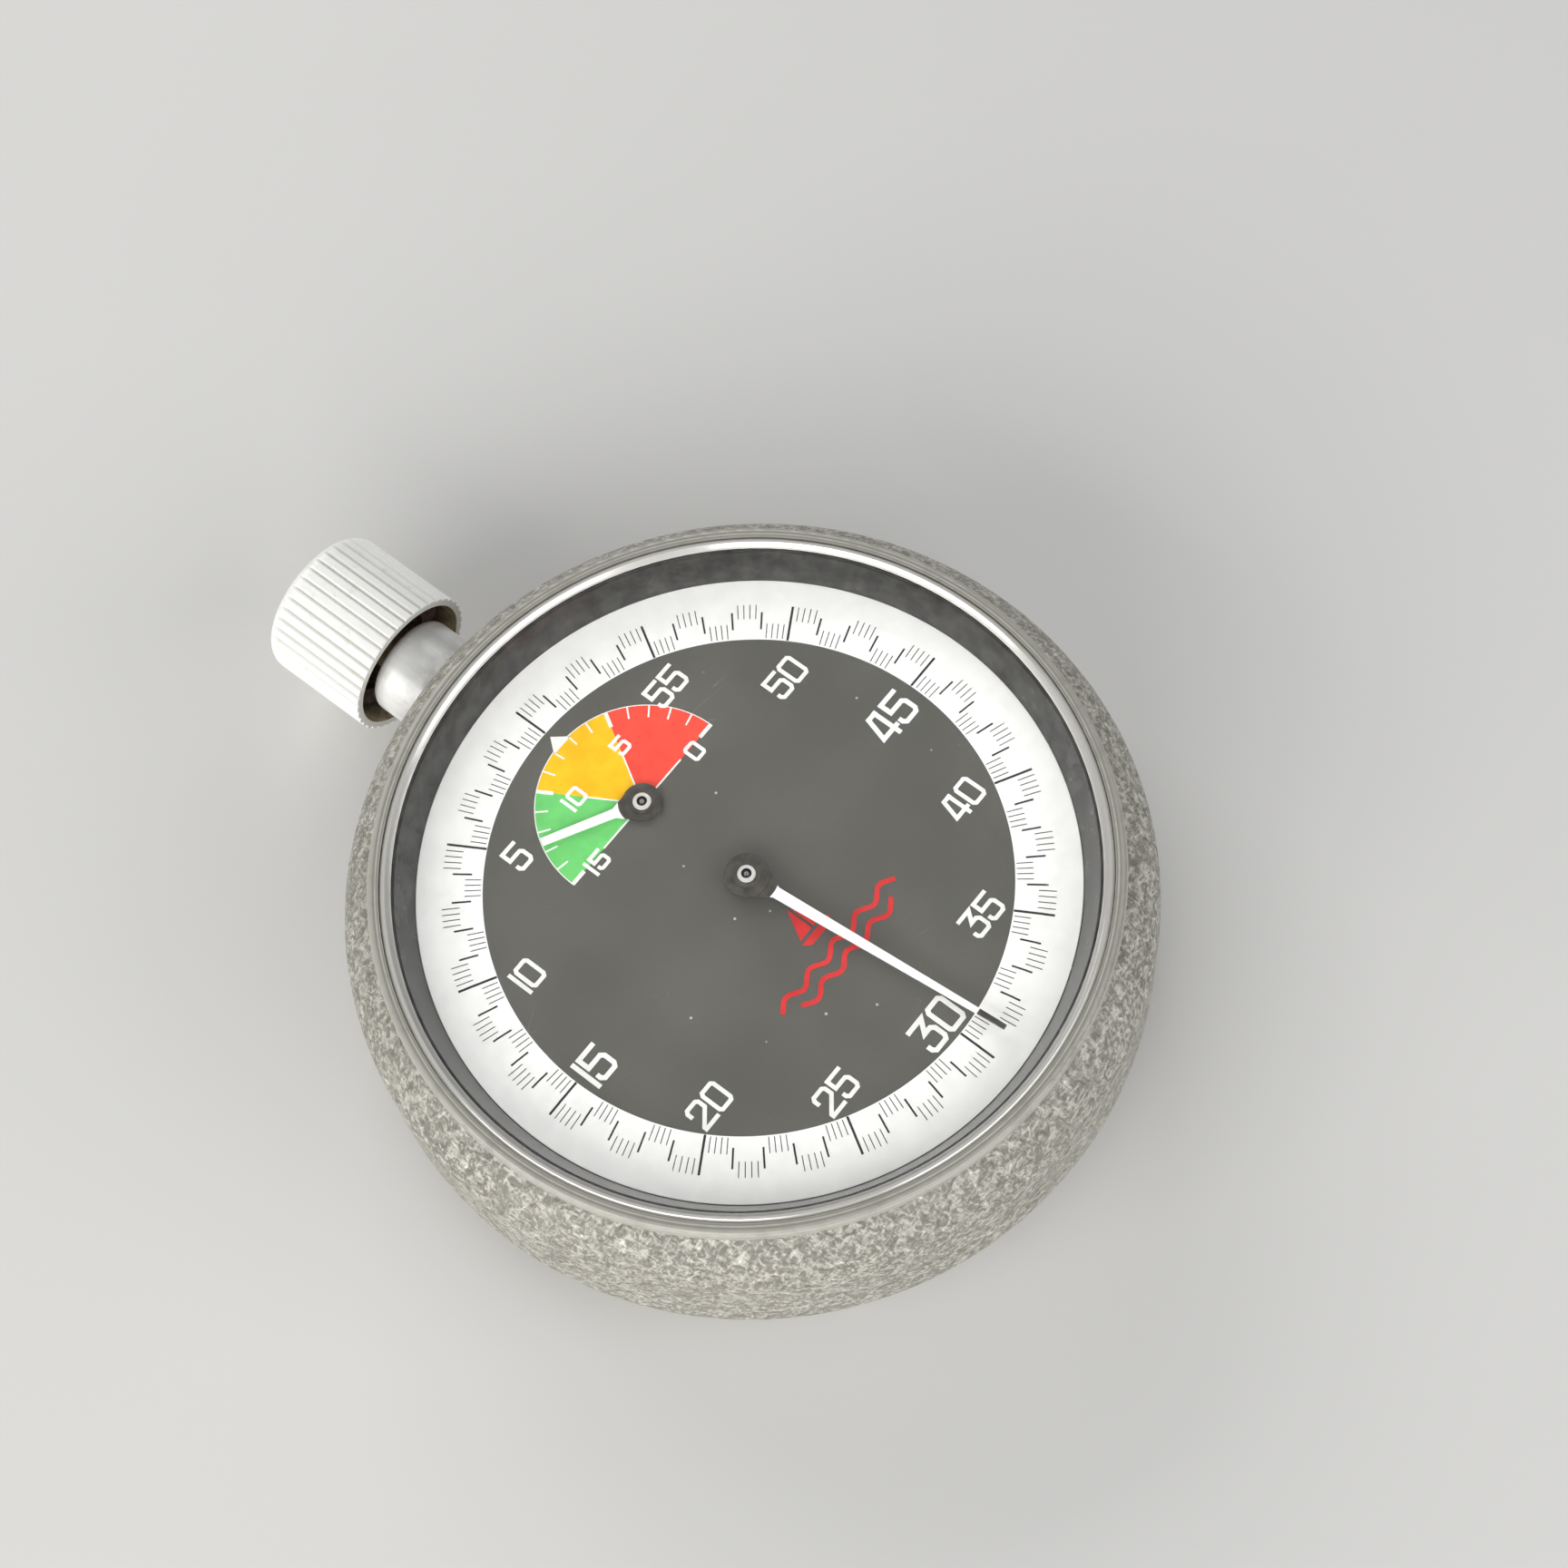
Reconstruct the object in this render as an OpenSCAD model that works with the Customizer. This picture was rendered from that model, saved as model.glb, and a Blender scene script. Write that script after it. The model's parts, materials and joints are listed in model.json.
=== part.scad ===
// Hand-held mechanical yachting stopwatch with a fifteen-minute counter.
// Millimetres. The origin is the centre of the flat case back, +Z points out
// through the crystal and +Y points along the crown. Every part is drawn in place.

/* [Case] */
// widest radius of the case body
case_r = 32; // [31.5:0.5:33]
// radius of the lower rounded edge of the case
low_edge_r = 5; // [4:0.5:5.5]
// radius of the upper rounded edge of the case
top_edge_r = 5.5; // [5:0.5:6]
// width of the smooth lip around the crystal
lip_w = 0.9; // [0.7:0.1:1]
// number of key notches in the case back
back_notches = 6; // [3:1:12]

/* [Crown] */
// outer radius of the fluted crown
crown_r = 6.4; // [6.2:0.1:6.8]
// number of flutes around the crown
flutes = 40; // [24:4:48]
// depth of one flute
flute_d = 0.22; // [0.22:0.08:0.3]
// how far the crown can be pushed in
push_travel = 1.6; // [1.2:0.1:1.8]

/* [Dial and hands] */
// seconds shown by the sweep hand
seconds_shown = 30.9; // [20:0.1:40]
// minutes shown by the small hand
minutes_shown = 12.55; // [6:0.05:15]
// distance of the small counter from the dial centre
counter_y = 10.63; // [10.62:0.01:10.64]
// how far the crystal rises above its edge
crystal_rise = 1.5; // [0.8:0.1:1.8]

/* [Movement] */
// radius of the balance rim
balance_r = 4.7; // [4.4:0.1:4.8]
// turns of the hairspring
hair_turns = 7; // [5:1:9]
// turns of the mainspring
main_turns = 8; // [5:1:9]

/* [Hidden] */
$fa = 4;
$fs = 0.2;
eps = 0.01;
dial_z = 15.2;        // top face of the dial
dial_t = 0.5;
axis_z = 8.2;         // height of the crown and stem axis
plate_bot = 10.4;     // underside of the main plate
plate_top = 12.4;     // dial side of the main plate
bridge_bot = 5.9;
bridge_top = 6.7;

// places of the arbors in the plane of the dial
seconds_at = [0, 0];
barrel_at = [-10.4, 7.8];
crown_wheel_at = [0, 12.3];
minute_at = [0, counter_y];
train_m = 0.14;       // module of the fast wheels
barrel_m = 0.18;      // module of the barrel teeth
wind_m = 2 * norm(crown_wheel_at - barrel_at) / (42 + 48);
count_m = 0.206;      // module of the minute gearing
second_d = (80 + 8) * train_m / 2;
barrel_d = (72 + 9) * barrel_m / 2;

// point at distance d from p in direction a
function polar(p, d, a) = p + d * [cos(a), sin(a)];
function heading(p, q) = atan2(q[1] - p[1], q[0] - p[0]);
// angle at p between the line to q and a link of length d1 that a link d2 closes
function corner(p, q, d1, d2) =
    acos((d1 * d1 + pow(norm(q - p), 2) - d2 * d2) / (2 * d1 * norm(q - p)));

second_at = polar(seconds_at, second_d, heading(seconds_at, barrel_at)
    + corner(seconds_at, barrel_at, second_d, barrel_d));
count_d1 = (8 + 40) * count_m / 2;
count_d2 = (8 + 48) * count_m / 2;
between_at = polar(seconds_at, count_d1, 90
    - corner(seconds_at, minute_at, count_d1, count_d2));
escape_at = polar(seconds_at, second_d, -60);
pallet_at = polar(escape_at, 3.46, -60);
balance_at = polar(pallet_at, 4.6, -60);
click_at = polar(barrel_at, 8.6, 200);
click_nose = polar(barrel_at, wind_m * 24.8 + 0.4, 225);
column_at = [-7.2, 13.4];
lever_at = [-12.2, 14];
lever_pin = [1.3, 19.95];
hammer_at = [6.5, -8];
brake_at = [1.5, -18.3];
cock_foot = [15, -8.5];
barrel_feet = [[-17.2, -1.2], [8, 12.8], [-5.5, 17.2]];
train_feet = [[12.5, 3], [-8.5, -8.5]];
pallet_feet = [[9.3, -6], [0.6, -10.6]];
clamp_angles = [30, 150, 270];

// ---- shared shapes ----

// puts a child at a place in the plane, at height z
module at(p, z = 0) { translate([p[0], p[1], z]) children(); }

// upright disc between two heights, with an optional hole
module disc(p, r, z0, z1, hole = 0) {
    at(p, z0) difference() {
        cylinder(r = r, h = z1 - z0);
        if (hole > 0) translate([0, 0, -1]) cylinder(r = hole, h = z1 - z0 + 2);
    }
}

// cylinder lying along the crown axis from y0 to y1
module rod_y(r, y0, y1) {
    translate([0, y0, axis_z]) rotate([-90, 0, 0]) cylinder(r = r, h = y1 - y0);
}

// outline of an arm that leaves p and ends round at q; its sides stay a little
// inside the round end, so they meet it at a clear angle
module arm(p, q, w, w2) {
    a = heading(p, q);
    side = [-sin(a), cos(a)] * 0.48;
    polygon([p + side * w, p - side * w, q - side * w2, q + side * w2]);
    translate(q) circle(r = w2 / 2);
}

// flat bar between two points with round ends
module bar(p, q, w, z0, z1, w2 = 0) {
    at([0, 0], z0) linear_extrude(z1 - z0) {
        translate(p) circle(r = w / 2);
        arm(p, q, w, w2 > 0 ? w2 : w);
    }
}

// outline of a toothed wheel with n teeth, with a tooth centred on angle a
module teeth(n, m, a = 0) {
    r = n * m / 2;
    tip = r + 0.8 * m;
    root = r - m;
    p = 360 / n;
    polygon([for (i = [0 : n - 1]) each [
        (root * [cos(a + (i - 0.34) * p), sin(a + (i - 0.34) * p)]),
        (tip * [cos(a + (i - 0.11) * p), sin(a + (i - 0.11) * p)]),
        (tip * [cos(a + (i + 0.11) * p), sin(a + (i + 0.11) * p)]),
        (root * [cos(a + (i + 0.34) * p), sin(a + (i + 0.34) * p)])]]);
}

// toothed plate at a place between two heights
module wheel(p, n, m, a, z0, z1, hole = 0) {
    at(p, z0) linear_extrude(z1 - z0) difference() {
        teeth(n, m, a);
        if (hole > 0) circle(r = hole);
    }
}

// openings that leave spokes between radii r0 and r1
module spoke_gaps(p, r0, r1, spokes, w, z0, z1) {
    at(p, z0) linear_extrude(z1 - z0) difference() {
        circle(r = r1);
        circle(r = r0);
        for (i = [0 : spokes - 1]) rotate(i * 360 / spokes)
            translate([0, -w / 2]) square([r1 + 1, w]);
    }
}

// flat spiral ribbon of a given thickness
module spiral(p, r0, r1, turns, w, z0, z1, step = 15) {
    n = round(turns * 360 / step);
    function ring(i, o) = (r0 + (r1 - r0) * i / n + o) * [cos(i * step), sin(i * step)];
    at(p, z0) linear_extrude(z1 - z0)
        polygon(concat([for (i = [0 : n]) ring(i, w / 2)], [for (i = [n : -1 : 0]) ring(i, -w / 2)]));
}

// heart-shaped cam whose low point faces angle a
module heart(p, low, high, a, z0, z1, hole) {
    at(p, z0) linear_extrude(z1 - z0) difference() {
        polygon([for (i = [-30 : 29])
            (low + (high - low) * abs(i) / 30) * [cos(a + i * 6), sin(a + i * 6)]]);
        circle(r = hole);
    }
}

// slotted screw with its head between z0 and z1 and its shank up to z2
module screw(p, r, z0, z1, z2, shank) {
    difference() {
        union() {
            disc(p, r, z0, z1);
            disc(p, shank, z1 - eps, z2);
        }
        at(p, z0) rotate(35) translate([-r - 1, -0.12, -1]) cube([2 * r + 2, 0.24, 1.22]);
    }
}

// ---- case ----

// outer section of the case body, from the well wall outwards
module case_section() {
    translate([case_r - low_edge_r, low_edge_r + 0.25]) circle(r = low_edge_r);
    translate([case_r - top_edge_r, 18.3 - top_edge_r]) circle(r = top_edge_r);
    translate([27, low_edge_r + 0.25])
        square([case_r - 27, 18.3 - top_edge_r - low_edge_r - 0.25]);
    translate([20, 0.25]) square([case_r - low_edge_r - 20, 17]);
    translate([20, 5]) square([case_r - top_edge_r - 20, 13.3]);
    translate([27, 16]) square([1.4 + lip_w / 2, 2.85]);
    translate([28.4, 16]) square([lip_w, 2.85 - lip_w / 2]);
    translate([28.4 + lip_w / 2, 18.85 - lip_w / 2]) circle(r = lip_w / 2);
}

module case_body() color([0.42, 0.42, 0.4]) difference() {
    rotate_extrude() difference() {
        case_section();
        translate([0, -1]) square([26.1, 2.5]);
        translate([0, 1]) square([25, 3]);
        translate([0, 3]) square([28, 6.8]);
        translate([0, 9]) square([22, 3]);
        translate([0, 11]) square([26.2, 6]);
        translate([0, dial_z]) square([28.35, 10]);
    }
    rod_y(3.02, 20, 34);
    rod_y(5.4, 31, 36);
    for (a = clamp_angles) at(polar([0, 0], 24, a), 9) cylinder(r = 0.42, h = 1.8);
}

module case_back() color([0.6, 0.6, 0.6]) difference() {
    union() {
        disc([0, 0], 26, 0, 1.45);
        disc([0, 0], 24.93, 1.4, 2.9, 23.8);
    }
    at([0, 0], 0.95) rotate_extrude() translate([25.1, 0]) square([0.7, 1]);
    rotate_extrude() translate([22.6, -0.01]) square([0.35, 0.16]);
    rotate_extrude() translate([14.2, -0.01]) square([0.3, 0.11]);
    for (i = [0 : back_notches - 1]) rotate(i * 360 / back_notches)
        translate([24, -1, -0.5]) cube([3, 2, 1.1]);
}

module back_gasket() color([0.08, 0.08, 0.08]) disc([0, 0], 25.78, 0.96, 1.49, 25.12);

module bezel_ring() color([0.85, 0.85, 0.83]) rotate_extrude()
    polygon([[27.45, 17.4], [28.3, 17.4], [28.3, 18.6], [28.05, 18.85], [27.85, 18.85],
        [27.45, 18.35]]);

module crystal() color([0.9, 0.95, 1, 0.3]) {
    dome_r = (27.4 * 27.4 + crystal_rise * crystal_rise) / (2 * crystal_rise);
    rotate_extrude() difference() {
        intersection() {
            translate([0, 17.93]) square([27.4, 5]);
            translate([0, 18.6 + crystal_rise - dome_r]) circle(r = dome_r, $fn = 360);
        }
        intersection() {
            translate([-1, 17]) square([27.4, 5]);
            translate([0, 17.5 + crystal_rise - dome_r]) circle(r = dome_r, $fn = 360);
        }
    }
}

module rehaut() color([0.07, 0.07, 0.07]) rotate_extrude()
    polygon([[25.85, 15.21], [28.28, 15.21], [28.28, 17.35], [27.4, 17.35], [27.4, 17.9],
        [27.2, 17.9]]);

module dial() color([0.06, 0.06, 0.06]) {
    difference() {
        disc([0, 0], 26.1, dial_z - dial_t, dial_z);
        disc(seconds_at, 0.9, 14, 16);
        disc(minute_at, 0.9, 14, 16);
    }
    for (s = [-1, 1]) disc([16.2 * s, -6 * s], 0.45, 12.8, 14.71);
}

module pendant_tube() color([0.85, 0.85, 0.84]) difference() {
    union() {
        rod_y(3, 26.5, 31.1);
        rod_y(4.3, 31.02, 36.6);
        rod_y(3.4, 36.5, 37.45);
        translate([0, 36.5, axis_z]) rotate([-90, 0, 0]) rotate_extrude()
            translate([3.35, 0]) circle(r = 0.95);
        translate([0, 31.02, axis_z]) rotate([-90, 0, 0]) rotate_extrude() difference() {
            square([5.33, 1]);
            translate([5.33, 1.1]) circle(r = 1.05);
        }
    }
    rod_y(2.36, 26, 39);
}

module movement_ring() color([0.75, 0.62, 0.35]) difference() {
    disc([0, 0], 26.15, 11.02, 14.66, 21.58);
    disc([0, 0], 22.68, 13.85, 15);
}

module case_clamps() color([0.7, 0.7, 0.7]) for (a = clamp_angles) rotate(a) difference() {
    union() {
        translate([20.7, -1.6, 9.2]) cube([4.9, 3.2, 0.56]);
        translate([20.7, -1.6, 9.2]) cube([1.2, 3.2, 1.17]);
    }
    translate([24, 0, 9]) cylinder(r = 0.45, h = 1);
}

module clamp_screws() color([0.35, 0.4, 0.6]) for (a = clamp_angles)
    screw(polar([0, 0], 24, a), 0.95, 8.75, 9.18, 10.7, 0.38);

// ---- fixed parts of the movement ----

module main_plate() color([0.8, 0.75, 0.6]) difference() {
    union() {
        disc([0, 0], 21.5, plate_bot, plate_top);
        disc([0, 0], 21.5, plate_top - eps, 14.68, 19.6);
        disc([0, 0], 22.6, 13.9, 14.68, 20);
        disc(lever_at, 0.7, plate_top - eps, 13.3);
        disc(hammer_at, 0.7, plate_top - eps, 14.3);
        disc(column_at, 0.6, plate_top - eps, 14.3);
        disc(brake_at, 0.5, 6.2, plate_bot + eps);
    }
    rod_y(2.75, 16.3, 23);
    bar([1.25, 20.1], [2, 18.2], 1.2, 9, 13);
    translate([-7, 15, plate_top]) cube([11, 8, 1.2]);
    for (s = [-1, 1]) disc([16.2 * s, -6 * s], 0.5, 12, 13);
    disc(seconds_at, 0.5, 10, 13);
    disc(between_at, 0.25, 11, 13);
    disc(minute_at, 0.25, 11, 13);
    disc(second_at, 0.7, 10, 13);
    disc(escape_at, 0.7, 10, 13);
    disc(pallet_at, 0.7, 10, 13);
    disc(balance_at, 0.9, 10, 13);
    disc(barrel_at, 0.76, 10, 13);
    for (p = concat(barrel_feet, train_feet, pallet_feet, [cock_foot])) disc(p, 0.35, 10, 11.6);
}

module barrel_bridge() color([0.82, 0.77, 0.62]) difference() {
    union() {
        at([0, 0], bridge_bot) linear_extrude(bridge_top - bridge_bot) {
            translate(barrel_at) circle(r = 8);
            translate(second_at) circle(r = 1.8);
            arm(barrel_at, crown_wheel_at, 9, 9);
            arm(barrel_at, barrel_feet[0], 5, 3.2);
            arm(crown_wheel_at, barrel_feet[1], 5, 3.2);
            arm(barrel_at, barrel_feet[2], 5, 3.2);
            arm(barrel_at, click_at, 4, 1.8);
        }
        for (p = barrel_feet) disc(p, 1.45, bridge_top - 0.1, plate_bot - 0.01);
        disc(crown_wheel_at, 1.44, 5.22, bridge_bot + 0.1);
        disc(click_at, 0.42, 5, bridge_bot + 0.1);
    }
    rod_y(2.75, 16.3, 23);
    disc(barrel_at, 0.95, 5, 8);
    disc(second_at, 0.7, 5, 8);
    disc(crown_wheel_at, 0.55, 5, 7);
    for (p = barrel_feet) disc(p, 0.45, 5, 11);
}

module train_bridge() color([0.82, 0.77, 0.62]) difference() {
    union() {
        at([0, 0], bridge_bot) linear_extrude(bridge_top - bridge_bot) {
            translate(seconds_at) circle(r = 2.6);
            arm(seconds_at, train_feet[0], 4, 3.4);
            arm(seconds_at, train_feet[1], 4, 3.4);
            arm(seconds_at, escape_at, 4.4, 3);
        }
        for (p = train_feet) disc(p, 1.55, bridge_top - 0.1, plate_bot - 0.01);
    }
    disc(seconds_at, 0.7, 5, 8);
    disc(escape_at, 0.7, 5, 8);
    for (p = train_feet) disc(p, 0.45, 5, 11);
}

module pallet_bridge() color([0.82, 0.77, 0.62]) difference() {
    union() {
        at([0, 0], 6.95) linear_extrude(0.35) {
            translate(pallet_at) circle(r = 1.15);
            arm(pallet_at, pallet_feet[0], 2, 2);
            arm(pallet_at, pallet_feet[1], 2, 2);
        }
        for (p = pallet_feet) disc(p, 0.85, 7.2, plate_bot - 0.01);
    }
    disc(pallet_at, 0.7, 6, 8);
    for (p = pallet_feet) disc(p, 0.45, 6, 11);
}

module balance_cock() color([0.82, 0.77, 0.62]) difference() {
    union() {
        bar(cock_foot, balance_at, 4.4, 4.2, 5.1, 3.6);
        disc(cock_foot, 2.1, 5, plate_bot - 0.01);
        disc(polar(balance_at, 3.3, 60), 0.25, 5, 5.8);
        at([0, 0], 4.5) linear_extrude(0.5) arm(balance_at, polar(balance_at, 3.3, 60), 1.6, 1.2);
    }
    disc(balance_at, 0.9, 4, 6);
    disc(cock_foot, 0.45, 4, 11);
}

module regulator() color([0.7, 0.7, 0.7]) {
    a = heading(balance_at, cock_foot);
    disc(balance_at, 1.5, 3.85, 4.18, 1);
    bar(polar(balance_at, 1.4, a + 28), polar(balance_at, 5.4, a + 28), 0.5, 3.85, 4.18, 0.25);
}

module bridge_screws() color([0.35, 0.4, 0.6]) {
    for (p = concat(barrel_feet, train_feet)) screw(p, 1, 5.5, 5.88, 11.5, 0.33);
    for (p = pallet_feet) screw(p, 0.8, 6.6, 6.93, 11.5, 0.33);
    screw(cock_foot, 1.1, 3.75, 4.18, 11.5, 0.33);
}

// ring jewels that carry the fast pivots, one above and one below each arbor
module jewels() color([0.75, 0.1, 0.2]) {
    for (p = [second_at, escape_at]) {
        disc(p, 0.69, bridge_bot, bridge_top - 0.1, 0.2);
        disc(p, 0.69, plate_bot + 0.1, plate_top - 0.6, 0.2);
    }
    disc(seconds_at, 0.69, bridge_bot, bridge_top - 0.1, 0.2);
    disc(pallet_at, 0.69, 6.95, 7.28, 0.2);
    disc(pallet_at, 0.69, plate_bot + 0.1, plate_top - 0.6, 0.2);
    disc(balance_at, 0.89, 4.22, 5.08, 0.2);
    disc(balance_at, 0.89, plate_bot + 0.1, plate_top - 0.4, 0.2);
}

module crown_wheel_screw() color([0.35, 0.4, 0.6])
    screw(crown_wheel_at, 2.1, 4.75, 5.2, 6.6, 0.5);

module click_spring() color([0.6, 0.62, 0.65]) difference() {
    bar([-17.6, 0.6], polar(click_nose, 0.95, 222), 0.5, 5.35, 5.75, 0.2);
    disc(barrel_feet[0], 1.1, 5, 6);
}

module column_jumper() color([0.6, 0.62, 0.65]) {
    bar([-14.6, 9.6], [-8.95, 11.4], 0.5, 12.42, 12.9, 0.3);
    disc([-14.6, 9.6], 0.9, 12.42, 12.9);
}

module hammer_spring() color([0.6, 0.62, 0.65]) {
    bar([14.4, -6.4], [7.75, 1.2], 0.6, 13.9, 14.3, 0.25);
    disc([14.4, -6.4], 0.9, 12.42, 14.3);
}

module lever_spring() color([0.6, 0.62, 0.65]) {
    bar([9.6, 15.4], [1.9, 17.1], 0.6, 12.42, 12.9, 0.3);
    disc([9.6, 15.4], 0.9, 12.42, 12.9);
}

module hairspring() color([0.3, 0.35, 0.6]) difference() {
    spiral(balance_at, 0.62, 3.3, hair_turns + 60 / 360, 0.07, 5.42, 5.66);
    disc(polar(balance_at, 3.3, 60), 0.27, 5, 6);
}

// ---- crown, stem and winding ----

module push_sleeve() color([0.8, 0.65, 0.4]) difference() {
    union() {
        rod_y(2.2, lever_pin[1] + 0.4, 24.8);
        rod_y(2.7, 24.8 - eps, 26.4);
        rod_y(2.31, 26.3, 37);
    }
    rod_y(0.83, 19, 38);
}

module crown_cap() color([0.9, 0.9, 0.87]) difference() {
    translate([0, 36.9, axis_z]) rotate([-90, 0, 0]) rotate_extrude() difference() {
        union() {
            square([crown_r, 9.2]);
            square([crown_r - 1.2, 10.4]);
            translate([crown_r - 1.2, 9.2]) circle(r = 1.2);
            intersection() {
                square([crown_r - 1.2, 11.2]);
                translate([0, 11.2 - 18]) circle(r = 18, $fn = 180);
            }
        }
        translate([1.6, -1]) square([4.15, 5.3]);
        translate([-1, -1]) square([1.81, 7.4]);
        translate([-1, -1]) square([3, 1.2]);
    }
    for (i = [0 : flutes - 1]) translate([0, 36.9, axis_z]) rotate([-90, i * 360 / flutes, 0])
        translate([crown_r, 0, -1]) rotate(45)
            translate([-flute_d * 0.7071, -flute_d * 0.7071, 0])
                cube([flute_d * 1.4142, flute_d * 1.4142, 11.1]);
}

module crown_seal() color([0.25, 0.2, 0.15]) translate([0, 39.2, axis_z]) rotate([-90, 0, 0])
    difference() {
        cylinder(r = 5.7, h = 1.97);
        translate([0, 0, -1]) cylinder(r = 4, h = 4);
    }

module winding_stem() color([0.65, 0.65, 0.67]) {
    rod_y(0.78, 19.4, 43);
    translate([-0.5, 15.6, axis_z - 0.5]) cube([1, 3.9, 1]);
}

module winding_pinion() color([0.65, 0.65, 0.67]) difference() {
    translate([0, 16.6, axis_z]) rotate([-90, 0, 0]) linear_extrude(1.15)
        teeth(18, 0.24, 0);
    translate([-0.55, 16, axis_z - 0.55]) cube([1.1, 4, 1.1]);
}

module crown_wheel() color([0.65, 0.66, 0.7])
    wheel(crown_wheel_at, 42, wind_m, heading(crown_wheel_at, barrel_at), 5.3, 5.8, 1.5);

module ratchet_wheel() color([0.65, 0.66, 0.7])
    wheel(barrel_at, 48, wind_m, heading(barrel_at, crown_wheel_at) + 180 / 48, 5.3, 5.8, 0.7);

module barrel_arbor() color([0.6, 0.6, 0.62]) {
    disc(barrel_at, 0.68, 5.3, 5.9);
    disc(barrel_at, 0.9, 5.82, 6.95);
    disc(barrel_at, 1.4, 7.35, 9.3);
    disc(barrel_at, 0.9, 6.9, 7.4);
    disc(barrel_at, 0.7, 9.2, 11.9);
}

module ratchet_screw() color([0.35, 0.4, 0.6]) difference() {
    disc(barrel_at, 1.6, 4.85, 5.28);
    at(barrel_at, 4.8) rotate(20) translate([-3, -0.15, 0]) cube([6, 0.3, 0.25]);
}

module click() color([0.6, 0.6, 0.62]) difference() {
    bar(click_at, click_nose, 1.6, 5.35, 5.8, 0.6);
    disc(click_at, 0.46, 5, 6);
}

module barrel_drum() color([0.82, 0.68, 0.4]) difference() {
    union() {
        disc(barrel_at, 6.3, 6.9, 9.75);
        wheel(barrel_at, 72, barrel_m, heading(barrel_at, second_at), 6.9, 7.48);
    }
    disc(barrel_at, 5.9, 7.3, 10);
    disc(barrel_at, 0.96, 6, 8);
}

module barrel_cover() color([0.82, 0.68, 0.4]) disc(barrel_at, 5.89, 9.35, 9.74, 0.76);

module mainspring() color([0.4, 0.42, 0.48])
    spiral(barrel_at, 1.65, 5.65, main_turns, 0.16, 7.5, 9.15, 18);

// ---- going train and hands ----

module second_wheel() color([0.85, 0.72, 0.42]) {
    difference() {
        wheel(second_at, 80, train_m, heading(second_at, seconds_at), 9.95, 10.15);
        spoke_gaps(second_at, 1.2, 4.6, 5, 0.7, 9, 11);
    }
    wheel(second_at, 9, barrel_m, heading(second_at, barrel_at) + 20, 6.92, 7.46);
    disc(second_at, 0.4, 6.75, 10.3);
    disc(second_at, 0.16, 6, 11.6);
}

module seconds_wheel() color([0.85, 0.72, 0.42]) {
    difference() {
        wheel(seconds_at, 80, train_m, heading(seconds_at, escape_at), 8.6, 8.8);
        spoke_gaps(seconds_at, 1.2, 4.6, 5, 0.7, 8, 9.5);
    }
    wheel(seconds_at, 8, train_m, heading(seconds_at, second_at) + 22.5, 9.8, 10.3);
    wheel(seconds_at, 8, count_m, heading(seconds_at, between_at) + 22.5, 12.55, 13);
    disc(seconds_at, 0.38, 6.8, 16.15);
    disc(seconds_at, 0.2, 16.14, 16.46);
    disc(seconds_at, 0.16, 6, 7);
}

module escape_wheel() color([0.75, 0.75, 0.76]) {
    difference() {
        at(escape_at, 7.5) linear_extrude(0.2) polygon([for (i = [0 : 14]) each [
            (2.4 * [cos(i * 24), sin(i * 24)]), (2.95 * [cos(i * 24 + 7), sin(i * 24 + 7)]),
            (2.95 * [cos(i * 24 + 10), sin(i * 24 + 10)]),
            (2.4 * [cos(i * 24 + 12), sin(i * 24 + 12)])]]);
        spoke_gaps(escape_at, 0.8, 2, 4, 0.5, 7, 8);
    }
    wheel(escape_at, 8, train_m, heading(escape_at, seconds_at) + 22.5, 8.4, 9);
    disc(escape_at, 0.34, 6.8, 10.3);
    disc(escape_at, 0.16, 6, 11.6);
}

module pallet_lever() color([0.72, 0.72, 0.74]) {
    f = heading(pallet_at, balance_at);
    tip = polar(pallet_at, 3.3, f);
    bar(pallet_at, tip, 0.5, 7.45, 7.7);
    bar(tip, polar(tip, 0.55, f + 40), 0.22, 7.45, 7.7);
    bar(tip, polar(tip, 0.55, f - 40), 0.22, 7.45, 7.7);
    difference() {
        for (s = [-1, 1])
            bar(pallet_at, polar(pallet_at, 1.85, f + 180 + s * 72), 0.55, 7.45, 7.7);
        for (s = [-1, 1]) {
            p = polar(pallet_at, 1.85, f + 180 + s * 72);
            bar(p, polar(p, 0.35, f + 180), 0.22, 7.4, 7.75);
        }
    }
    disc(pallet_at, 0.3, 7.36, 10.3);
    disc(pallet_at, 0.16, 7, 11.6);
}

module pallet_stones() color([0.75, 0.1, 0.2]) {
    f = heading(pallet_at, balance_at);
    for (s = [-1, 1]) {
        p = polar(pallet_at, 1.85, f + 180 + s * 72);
        bar(p, polar(p, 0.35, f + 180), 0.2, 7.45, 7.7);
    }
}

module balance_wheel() color([0.85, 0.72, 0.42]) {
    disc(balance_at, balance_r, 6.3, 6.8, balance_r - 0.55);
    difference() {
        bar(polar(balance_at, balance_r - 0.4, 20), polar(balance_at, balance_r - 0.4, 200),
            0.7, 6.35, 6.6);
        disc(balance_at, 0.42, 6, 7);
    }
}

module balance_staff() color([0.6, 0.6, 0.62]) {
    disc(balance_at, 0.41, 5.3, 9.9);
    disc(balance_at, 0.16, 4.3, 11.7);
    disc(balance_at, 0.85, 7.85, 8.05);
    disc(polar(balance_at, 0.7, heading(balance_at, pallet_at)), 0.09, 7.5, 7.9);
}

module between_wheel() color([0.85, 0.72, 0.42]) {
    difference() {
        wheel(between_at, 40, count_m, heading(between_at, seconds_at), 12.65, 12.85);
        spoke_gaps(between_at, 1.3, 3.2, 4, 0.7, 12, 13);
    }
    wheel(between_at, 8, count_m, heading(between_at, minute_at) + 22.5, 13, 13.6);
    disc(between_at, 0.22, 11.5, 13.7);
    disc(between_at, 0.4, 12.6, 13.1);
}

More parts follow.
